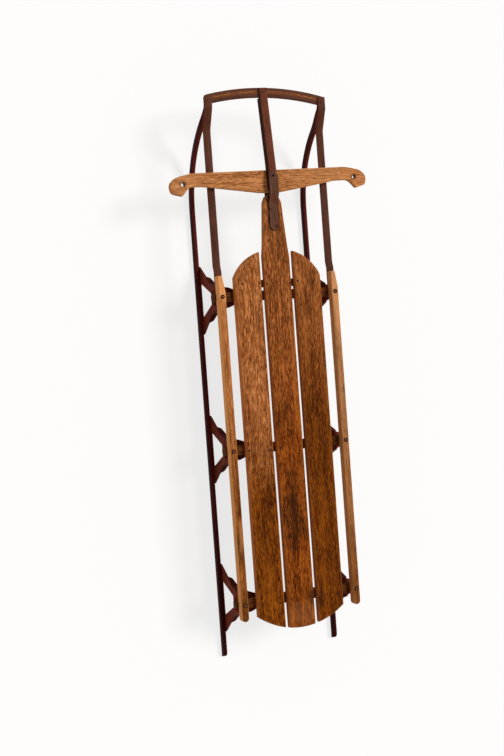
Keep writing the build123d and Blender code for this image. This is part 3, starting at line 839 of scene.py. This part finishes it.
def shade_left_edge(material):
    """Paints shade in black on the left side of the centre bar and on the left edge of its top."""
    wire, where, now = reopen(material)
    from_pivot = wire.vectors("SUBTRACT", where, PIVOT)
    across = wire.vectors("DOT_PRODUCT", from_pivot, (math.cos(BAR_TURN), math.sin(BAR_TURN), 0))
    stray = wire.maths("MULTIPLY", wire.noise(where, *UNEVEN_EDGE), LEFT_SHADE_STRAY)
    edge = wire.between(wire.maths("ADD", across, stray), LEFT_SHADE_FROM, LEFT_SHADE_TO, LEFT_SHADE_STRENGTH)
    return recolour(material, wire, wire.mix(edge, now, LEFT_SHADE_BLACK))


def rimmed(material):
    """Paints shade as a dark band along the outline of the nose plates, and a paler line inside their round
    end.
    """
    wire, where, now = reopen(material)
    half = (PLATE_HIGH.x - PLATE_LOW.x) / 2
    parts = wire.parts(where)
    behind = wire.maths("MINIMUM", wire.maths("SUBTRACT", parts["Y"], PLATE_LOW.y + half), 0)
    flat = wire.add("ShaderNodeCombineXYZ", {"X": parts["X"], "Y": behind}).outputs[0]
    reach = wire.vectors("LENGTH", flat)
    line = wire.maths("ABSOLUTE", wire.maths("SUBTRACT", reach, half - LINE_INSIDE))
    pale = wire.between(line, LINE_FAR, LINE_NEAR, LINE_STRENGTH)
    now = wire.mix(wire.maths("MULTIPLY", pale, wire.noise(where, *UNEVEN_RIM)), now, PALE_LINE_STEEL)
    # Painted shade: a dark band along the plates' outline.
    edge = wire.between(reach, half - RIM_FROM, half - RIM_TO, RIM_STRENGTH)
    return recolour(material, wire, wire.mix(edge, now, RIM_SHADE_BLACK))


def shade_bore(material):
    """Paints shade in black inside the pivot's bore."""
    wire, where, now = reopen(material)
    bore = (BORE_RADIUS, BORE_RADIUS, RIGHT_THROUGH)
    inputs = {"Vector": where, "Location": (PIVOT.x, PIVOT.y, 0), "Scale": bore}
    near = wire.add("ShaderNodeMapping", inputs, vector_type="TEXTURE").outputs["Vector"]
    inside = wire.between(wire.vectors("LENGTH", near), BORE_SOFT, 1.0)
    return recolour(material, wire, wire.mix(inside, now, BORE_SHADE_BLACK))


def slat(name, wood, **ways):
    """The deck's varnish, with the ways in which one slat differs from the others."""
    return timber(name, (wood.deck, wood.deck_pale, wood.deck_dark), wear=0.3, **ways)


# The slats and rails below get painted light on their side faces.
def left_slat(name, wood):
    """The left slat, whose varnish darkens behind the middle beam."""
    return slat(name, wood, flecks=0.8, grain=1.15, stains=0.4, deeper=(-0.08, -0.32), tint=wood.depth,
                pale_sides=0.45, spots=LEFT_SLAT_STAINS)


def centre_slat(name, wood):
    """The centre slat, with the darkest stains and a worn tail."""
    return slat(name, wood, flecks=0.7, grain=1.1, stains=0.5, shift=(0.3, 0.7, 0), deeper=(0.50, -0.15),
                tint=wood.centre_depth, pale_sides=0.3, spots=CENTRE_SLAT_STAINS,
                worn_spots=CENTRE_SLAT_WORN)


def right_slat(name, wood):
    """The right slat, whose varnish darkens all along from its front."""
    return slat(name, wood, flecks=0.65, grain=1.0, stains=0.5, shift=(-0.4, 0.2, 0), deeper=(0.48, -0.12),
                tint=wood.depth, pale_sides=0.3, spots=RIGHT_SLAT_STAINS)


def left_rail(name, wood):
    """The left rail, worn at the front and stained at the back."""
    colours = (wood.rail, wood.rail_pale, wood.deck_dark)
    return timber(name, colours, flecks=0.45, grain=0.6, stains=0.4, wear=0.4, scale=RAIL_GRAIN,
                  deeper=(-0.05, -0.30), tint=wood.rail_depth, pale_sides=0.7, spots=LEFT_RAIL_STAINS,
                  worn_spots=LEFT_RAIL_WORN)


def right_rail(name, wood):
    """The right rail, dry and paler."""
    colours = (wood.rail_dry, wood.rail_pale, wood.deck_dark)
    return timber(name, colours, flecks=0.5, grain=0.6, stains=0.3, wear=0.4, shift=(0.2, 0.4, 0),
                  scale=RAIL_GRAIN, deeper=(0.20, -0.55), tint=wood.dry_depth, pale_sides=0.4,
                  spots=RIGHT_RAIL_STAINS, worn_spots=RIGHT_RAIL_WORN)


def steering_bar(name, wood):
    """The steering bar, cracked along its grain, with dark rings round the rope holes."""
    colours = (wood.steering, wood.steering_pale, wood.deck_dark)
    return timber(name, colours, flecks=0.7, grain=1.0, stains=0.3, wear=0.4, swing=CROSSWISE,
                  scale=(0.9, 2.0, 1), cracks=0.8, spots=STEERING_STAINS, worn_spots=STEERING_WORN)


def beam(name, wood):
    """The beams and the batten under the slats, almost black."""
    colours = (wood.beam, wood.deck, wood.deck_dark)
    return timber(name, colours, flecks=0.3, grain=1.0, stains=0.8, wear=0.4, swing=CROSSWISE)


def centre_bar(name, wood):
    """The centre bar, brown, with painted shade along its left edge."""
    pale, dark = scaled(wood.centre_bar, CENTRE_BAR_PALER), scaled(wood.centre_bar, BAR_DARKER)
    colours = (wood.centre_bar, pale, dark)
    return shade_left_edge(timber(name, colours, flecks=0.25, grain=0.5, stains=0.3, wear=0.25))


def front_bar(name, wood):
    """The front bar, dark brown with a bare streak."""
    colours = (wood.bar, scaled(wood.bar, FRONT_BAR_PALER), scaled(wood.bar, BAR_DARKER))
    made = timber(name, colours, flecks=0.3, grain=0.5, stains=0.3, wear=0.2, swing=CROSSWISE)
    return bare_along_bow(made, wood.bar_worn)


def runner_coat(name, steel):
    """The runners' maroon, with painted shade on their sides, and darker towards the tail."""
    return enamel(name, steel.runner, chips=0.5, wear=0.25, shaded_faces=("X", 0.75),
                  darker_aft=(-0.40, -0.62, 0.85))


def knee_coat(name, steel):
    """The knees' maroon, with painted shade on the faces that look along the sled."""
    return enamel(name, steel.knee, chips=0.6, wear=0.3, shaded_faces=("Y", 0.75))


def strap_coat(name, steel):
    """The straps' brown."""
    return enamel(name, steel.strap, chips=0.7, wear=0.3)


def plate_coat(name, steel):
    """The nose plates' brown-grey, chipped, with a rim of painted shade."""
    return rimmed(enamel(name, steel.plate, chips=1.6, wear=0.7))


def pivot_coat(name, steel):
    """The pivot rivet's brown-grey, with painted shade in its bore."""
    return shade_bore(enamel(name, steel.plate, chips=1.0, wear=0.45))


def dark_iron(name, steel):
    """The iron of nails, washers and rivet ends."""
    return iron(name, steel.iron)


def rubbed_iron(name, steel):
    """The heads that hands and boots have rubbed."""
    return iron(name, steel.worn_iron)


WOOD_FINISHES = {
    "deck_left": left_slat, "deck_centre": centre_slat, "deck_right": right_slat,
    "rail_varnish": left_rail, "dry_rail_varnish": right_rail, "steering_varnish": steering_bar,
    "beam_varnish": beam, "centre_bar_varnish": centre_bar, "front_bar_varnish": front_bar,
}
STEEL_FINISHES = {
    "runner_paint": runner_coat, "knee_paint": knee_coat, "strap_paint": strap_coat,
    "plate_paint": plate_coat, "pivot_paint": pivot_coat, "dark_iron": dark_iron, "nail_iron": dark_iron,
    "rubbed_iron": rubbed_iron,
}


def finish_of(name):
    """A material by its name, made from the settings when it is first needed."""
    made = bpy.data.materials.get(name)
    if made:
        return made
    scene = bpy.context.scene
    if name in WOOD_FINISHES:
        return WOOD_FINISHES[name](name, scene.sled_timber)
    return STEEL_FINISHES[name](name, scene.sled_enamel)


def dress(node, look):
    """Gives a solid of the frame its material."""
    NODES[node].data.materials.clear()
    NODES[node].data.materials.append(finish_of(look))


# Pieces

class SLED_OT_wood(Operator):
    """Finishes the slats, rails, beams and bars with old varnish"""

    bl_idname = "sled.wood"
    bl_label = "Finish the wood"

    def execute(self, context):
        looks = {
            "slat_left": "deck_left", "slat_centre": "deck_centre", "slat_right": "deck_right",
            "rail_left": "rail_varnish", "rail_right": "dry_rail_varnish",
            "steering_bar": "steering_varnish", "centre_bar": "centre_bar_varnish",
            "front_bar": "front_bar_varnish", "front_batten": "beam_varnish",
        }
        looks.update({"beam_" + place: "beam_varnish" for place in PLACES})
        for node, look in looks.items():
            dress(node, look)
        return {"FINISHED"}


class SLED_OT_steel(Operator):
    """Finishes the knees, the nose plates and the pivot rivet with old paint"""

    bl_idname = "sled.steel"
    bl_label = "Finish the steel"

    def execute(self, context):
        looks = {"nose_plate_upper": "plate_paint", "nose_plate_lower": "plate_paint"}
        looks["pivot_rivet"] = "pivot_paint"
        looks.update({f"knee_{place}_{side}": "knee_paint" for place in PLACES for side in SIDES})
        for node, look in looks.items():
            dress(node, look)
        return {"FINISHED"}


class SLED_OT_runners(Operator):
    """Models the two grooved steel runners, drawn out to flat tips"""

    bl_idname = "sled.runners"
    bl_label = "Model the runners"

    def execute(self, context):
        sizes = context.scene.sled_runners
        points = rounded_section(
            sizes.width, sizes.height, sizes.edge, sizes.groove_width, sizes.groove_depth)
        for side in SIDES:
            low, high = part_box("runner_" + side)
            piece = start_ring("runner_bar_" + side, points)
            outer = low.x + sizes.width / 2 if side == "left" else high.x - sizes.width / 2
            carry_ring(piece, stations_along(self.path(sizes, low, high), outer))
            finish(piece, "runner_paint")
            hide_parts("runner_" + side)
            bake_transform(piece)
        return {"FINISHED"}

    def path(self, sizes, low, high):
        """Stations from the tail to the tip: place, slope and the section's shares."""
        tip_z = high.z - sizes.tip_thick
        slope = sizes.rise
        upper = sizes.upper_radius * math.tan(slope / 2)
        lower = sizes.lower_radius * math.tan(slope / 2)
        upper_y = high.y - sizes.tip_flat - upper
        curve_y = upper_y - tip_z / math.tan(slope) - lower
        made = []
        # The tail is rounded off from the top.
        for step in range(TAIL_STEPS + 1):
            back = sizes.tail_radius * math.cos(math.radians(90 * step / TAIL_STEPS))
            height = sizes.height - sizes.tail_radius + math.sqrt(max(sizes.tail_radius**2 - back**2, 0))
            made.append((low.y + sizes.tail_radius - back, 0.0, 0.0, 1.0, height / sizes.height, 0.0))
        tail_y = made[-1][0]
        for step in range(1, STRAIGHT_STEPS + 1):
            made.append((tail_y + (curve_y - tail_y) * step / STRAIGHT_STEPS, 0.0, 0.0, *FULL_SECTION))
        for step in range(1, CURVE_STEPS + 1):
            bend = slope * step / CURVE_STEPS
            y, z = sizes.lower_radius * math.sin(bend), sizes.lower_radius * (1 - math.cos(bend))
            made.append((curve_y + y, z, bend, *FULL_SECTION))
        # The rise leans in and is drawn out to the tip's section.
        rise_y, rise_z = made[-1][:2]
        bend_y, bend_z = upper_y - upper * math.cos(slope), tip_z - upper * math.sin(slope)
        rise = math.hypot(bend_y - rise_y, bend_z - rise_z)
        for step in range(1, RISE_STEPS + 1):
            done = step / RISE_STEPS
            drawn = ease_between((rise * done - rise + sizes.draw_length) / sizes.draw_length)
            y, z = rise_y + (bend_y - rise_y) * done, rise_z + (bend_z - rise_z) * done
            wide = 1 + (sizes.tip_width / sizes.width - 1) * drawn
            thick = 1 + (sizes.tip_thick / sizes.height - 1) * drawn
            made.append((y, z, slope, wide, thick, sizes.tip_inset * drawn))
        shape = made[-1][3:]
        for step in range(1, TIP_STEPS + 1):
            bend = slope * (1 - step / TIP_STEPS)
            y = bend_y + sizes.upper_radius * (math.sin(slope) - math.sin(bend))
            made.append((y, tip_z - sizes.upper_radius * (1 - math.cos(bend)), bend, *shape))
        flat = high.y - made[-1][0]
        for done, narrow in RUNNER_END:
            made.append((high.y - flat * (1 - done), tip_z, 0.0, shape[0] * narrow, *shape[1:]))
        return made


class SLED_OT_straps(Operator):
    """Models the two flat steel straps from the front beam to the front bar"""

    bl_idname = "sled.straps"
    bl_label = "Model the straps"

    def execute(self, context):
        sizes = context.scene.sled_straps
        points = rounded_section(sizes.width, sizes.thick, sizes.edge)
        for side in SIDES:
            low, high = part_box("strap_" + side)
            piece = start_ring("steel_strap_" + side, points)
            carry_ring(piece, stations_along(self.path(sizes, low, high), (low.x + high.x) / 2))
            finish(piece, "strap_paint")
            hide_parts("strap_" + side)
            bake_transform(piece)
        return {"FINISHED"}

    def path(self, sizes, low, high):
        """Stations from the tail in the front beam to the tip on the front bar."""
        tip_z = high.z - sizes.thick
        tail_z = low.z + sizes.drop
        drop_y = BEAM_Y["front"] + sizes.drop_lead
        rise_end = high.y - sizes.tip_flat
        corners = [(low.y, tail_z), (drop_y, tail_z), (drop_y + sizes.drop_run, low.z),
                   (rise_end - sizes.rise_run, low.z), (rise_end, tip_z), (high.y, tip_z)]
        made = [(low.y, tail_z, 0.0, *FULL_SECTION)]
        for before, corner, after in zip(corners, corners[1:], corners[2:]):
            slope_in = math.atan2(corner[1] - before[1], corner[0] - before[0])
            slope_out = math.atan2(after[1] - corner[1], after[0] - corner[0])
            back = sizes.bend_radius * math.tan(abs(slope_out - slope_in) / 2)
            start = Vector((corner[0] - back * math.cos(slope_in), corner[1] - back * math.sin(slope_in)))
            last = Vector(made[-1][:2])
            pieces = max(1, round((start - last).length / STRAP_SPACING))
            for step in range(1, pieces + 1):
                made.append((*last.lerp(start, step / pieces), slope_in, *FULL_SECTION))
            side = math.copysign(1, slope_out - slope_in)
            centre = start + side * sizes.bend_radius * Vector((-math.sin(slope_in), math.cos(slope_in)))
            for step in range(1, STRAP_STEPS + 1):
                slope = slope_in + (slope_out - slope_in) * step / STRAP_STEPS
                spot = centre - side * sizes.bend_radius * Vector((-math.sin(slope), math.cos(slope)))
                made.append((*spot, slope, *FULL_SECTION))
        for back, wide in STRAP_END:
            made.append((high.y - back, tip_z, 0.0, wide, 1.0, 0.0))
        return made


def placed(x, y, z):
    """A place for a head that looks up."""
    return Matrix.Translation((x, y, z))


def hung(x, y, z):
    """A place for a head that looks down."""
    return placed(x, y, z) @ Matrix.Rotation(math.pi, 4, "X")


class SLED_OT_rail_rivets(Operator):
    """Models the six rail rivets in their washers, and their ends below the knees' lugs"""

    bl_idname = "sled.rail_rivets"
    bl_label = "Model the rail rivets"

    def execute(self, context):
        sizes = context.scene.sled_fasteners
        spots = [(middle("rail_" + side).x, BEAM_Y[place]) for side in SIDES for place in PLACES]
        ringed("rail_rivet", sizes.washer_radius, sizes.facets, [placed(x, y, RAIL_HIGH.z) for x, y in spots])
        ends = [hung(x, y, BEAM_LOW.z - sizes.lug_thick) for x, y in spots]
        end = (RIVET_END, RIVET_END_RADIUS, sizes.facets)
        heads("rail_rivet_ends", end, ends, "dark_iron", "root")
        return {"FINISHED"}


class SLED_OT_knee_lugs(Operator):
    """Models the lugs that carry the tops of the knees out under the beams' ends"""

    bl_idname = "sled.knee_lugs"
    bl_label = "Model the knee lugs"

    def execute(self, context):
        sizes = context.scene.sled_fasteners
        wide, narrow = sizes.lug_wide / 2, sizes.lug_narrow / 2
        corners = [(sizes.lug_inner, -wide), (sizes.lug_outer, -narrow), (sizes.lug_outer, narrow),
                   (sizes.lug_inner, wide)]
        lug = start_ring("lug", rounded_outline(corners, sizes.lug_corner))
        centre = placed((sizes.lug_inner + sizes.lug_outer) / 2, 0, 0)
        carry_ring(lug, [
            placed(0, 0, -sizes.lug_thick * (1 - height)) @ centre @ Matrix.Diagonal((grow, grow, 1, 1))
            @ centre.inverted() for height, grow in LUG_LAYERS])
        right = [placed(0, BEAM_Y[place], BEAM_LOW.z) for place in PLACES]
        half_turn = Matrix.Rotation(math.pi, 4, "Z")
        piece = copies(lug, "knee_lugs", right + [place @ half_turn for place in right])
        finish(piece, "knee_paint", "root")
        return {"FINISHED"}


class SLED_OT_deck_nails(Operator):
    """Models the small nails that hold the slats to the batten and the beams"""

    bl_idname = "sled.deck_nails"
    bl_label = "Model the deck nails"

    def execute(self, context):
        places = []
        for row, (y, across) in enumerate(NAIL_ROWS):
            for index, x in enumerate(across):
                stray = NAIL_STRAY * math.sin(NAIL_STRAY_TURN * index + row)
                places.append(placed(x, y + stray, SLAT_HIGH.z))
        head = (NAIL_HEAD, context.scene.sled_fasteners.nail_radius, NAIL_FACETS)
        heads("deck_nail_heads", head, places, "nail_iron", "root")
        return {"FINISHED"}


class SLED_OT_rivets(Operator):
    """Models the rivets of the knees, the nose plate, the straps, the runners' tips and the centre bar"""

    bl_idname = "sled.rivets"
    bl_label = "Model the rivets"

    def execute(self, context):
        sizes = context.scene.sled_fasteners
        top = tuple((wide, high * sizes.rivet_height) for wide, high in ROUND_TOP)
        round_head = (ROUND_FOOT + top, sizes.rivet_radius, sizes.facets)
        flat_head = (FLAT_HEAD, sizes.rivet_radius, sizes.facets)
        beams = [(out, BEAM_Y[place]) for out in (-1, 1) for place in PLACES]
        knees = [place for out, y in beams for place in self.knee_places(out, y)]
        heads("knee_rivet_heads", round_head, knees, "knee_paint", "root")
        tongues = [hung(out * TONGUE_RIVET_OUT, y, BEAM_LOW.z - KNEE_STEEL) for out, y in beams]
        heads("tongue_rivet_heads", round_head, tongues, "knee_paint", "root")
        nose = [placed(x, PIVOT.y + y, SLAT_HIGH.z + PLATE_STEEL) for x, y in NOSE_RIVETS]
        ringed("nose_rivet", sizes.plate_washer_radius, sizes.facets, nose)
        tips = [(middle("strap_" + side).x, STRAP_HIGH.y - TIP_RIVET_BACK) for side in SIDES]
        upper = [placed(x, y, STRAP_HIGH.z) for x, y in tips]
        heads("strap_rivet_heads", round_head, upper, "strap_paint", "front")
        lower = [hung(x, y, RUNNER_HIGH.z - TIP_STEEL) for x, y in tips]
        heads("tip_rivet_heads", round_head, lower, "runner_paint", "front")
        lap = [placed(BAR_RIVET_OUT, CENTRE_BAR_HIGH.y - BAR_RIVET_BACK, SLAT_HIGH.z + BAR_RIVET_LIFT)]
        heads("centre_bar_rivet_head", flat_head, lap, "strap_paint", "steering")
        return {"FINISHED"}

    def knee_places(self, out, y):
        """Places of one knee's two rivets through the runner, with heads on both sides."""
        outside, inside = -out * RUNNER_LOW.x, -out * KNEE_LOW.x - out * KNEE_STEEL
        for along in (-KNEE_RIVET_ALONG, KNEE_RIVET_ALONG):
            for x, way in ((outside, out), (inside, -out)):
                yield placed(x, y + along, KNEE_RIVET_HEIGHT) @ Matrix.Rotation(way * math.pi / 2, 4, "Y")


class SLED_OT_stage(Operator):
    """Sets up the pale floor, the soft light and the camera"""

    bl_idname = "sled.stage"
    bl_label = "Set up the stage"

    def execute(self, context):
        stage = context.scene.sled_stage
        context.scene.view_settings.view_transform = "Standard"
        let_go()
        bpy.ops.mesh.primitive_plane_add(size=stage.floor_size)
        floor = context.object
        floor.name = "studio_floor"
        floor.data.materials.append(self.floor_paint(stage))
        let_go()
        bpy.ops.object.light_add(type="SUN", rotation=tuple(stage.key_turn))
        key = context.object
        key.name = "key_light"
        key.data.energy = stage.key_strength
        key.data.angle = stage.key_softness
        let_go()
        bpy.ops.object.camera_add(location=tuple(stage.camera_place), rotation=tuple(stage.camera_turn))
        camera = context.object
        camera.name = "photo_camera"
        camera.data.lens = stage.lens
        camera.data.sensor_width = SENSOR_WIDTH
        camera.data.clip_end = CLIP_END
        context.scene.camera = camera
        self.light_sky(context.scene, stage)
        return {"FINISHED"}

    def light_sky(self, scene, stage):
        """Soft light from all round, which the camera and mirrors see at full strength."""
        scene.world = scene.world or bpy.data.worlds.new("studio")
        scene.world.use_nodes = True
        wire = Wiring(scene.world.node_tree)
        sky = wire.tree.nodes["Background"].inputs
        inputs = {"Value": self.seen_straight(wire), "To Min": stage.sky_strength, "To Max": 1.0}
        wire.feed(wire.add("ShaderNodeMapRange", inputs).outputs["Result"], sky["Strength"])
        wire.feed(opaque(stage.sky), sky["Color"])

    def seen_straight(self, wire):
        """A mask of what the camera sees, straight, mirrored or through glass."""
        rays = wire.add("ShaderNodeLightPath").outputs
        return wire.greatest(rays["Is Camera Ray"], rays["Is Glossy Ray"], rays["Is Transmission Ray"])

    def floor_paint(self, stage):
        """A matt floor that shows white and keeps its shadows."""
        material = bpy.data.materials.new("floor_paint")
        material.use_nodes = True
        wire = Wiring(material.node_tree)
        wire.tree.nodes.clear()
        matt = wire.add("ShaderNodeBsdfDiffuse", {"Color": opaque(stage.floor)}).outputs[0]
        glow = wire.add("ShaderNodeEmission", {"Strength": 1.0}).outputs[0]
        white = wire.maths("MULTIPLY", self.seen_straight(wire), stage.floor_glow)
        mixed = wire.add("ShaderNodeMixShader", {0: white, 1: matt, 2: glow}).outputs[0]
        wire.add("ShaderNodeOutputMaterial", {"Surface": mixed})
        return material


STEPS = (
    SLED_OT_stage, SLED_OT_wood, SLED_OT_steel, SLED_OT_runners, SLED_OT_straps, SLED_OT_rail_rivets,
    SLED_OT_knee_lugs, SLED_OT_deck_nails, SLED_OT_rivets,
)
SETTINGS = (
    ("sled_runners", "Runners"), ("sled_straps", "Straps"), ("sled_fasteners", "Fasteners"),
    ("sled_timber", "Timber"), ("sled_enamel", "Enamel"), ("sled_stage", "Stage"),
)


class SLED_PT_panel(Panel):
    """Lists the sled's settings and steps"""

    bl_idname = "SLED_PT_panel"
    bl_label = "Sled"
    bl_space_type = "VIEW_3D"
    bl_region_type = "UI"
    bl_category = "Sled"

    def draw(self, context):
        for step in STEPS:
            self.layout.operator(step.bl_idname)
        for name, label in SETTINGS:
            box = self.layout.box()
            box.label(text=label)
            group = getattr(context.scene, name)
            for prop in group.bl_rna.properties:
                if prop.identifier not in ("name", "rna_type"):
                    box.prop(group, prop.identifier)


GROUPS = (
    SledRunnerSettings, SledStrapSettings, SledFastenerSettings, SledTimberSettings, SledEnamelSettings,
    SledStageSettings,
)
CLASSES = GROUPS + STEPS + (SLED_PT_panel,)


def register():
    for made in CLASSES:
        bpy.utils.register_class(made)
    for (name, label), group in zip(SETTINGS, GROUPS):
        setattr(bpy.types.Scene, name, PointerProperty(type=group, name=label, description=group.__doc__))


def unregister():
    for name, label in SETTINGS:
        delattr(bpy.types.Scene, name)
    for made in reversed(CLASSES):
        bpy.utils.unregister_class(made)


def main():
    register()
    bpy.ops.sled.stage()
    bpy.ops.sled.wood()
    bpy.ops.sled.steel()
    bpy.ops.sled.runners()
    bpy.ops.sled.straps()
    bpy.ops.sled.rail_rivets()
    bpy.ops.sled.knee_lugs()
    bpy.ops.sled.deck_nails()
    bpy.ops.sled.rivets()


if __name__ == "__main__":
    main()
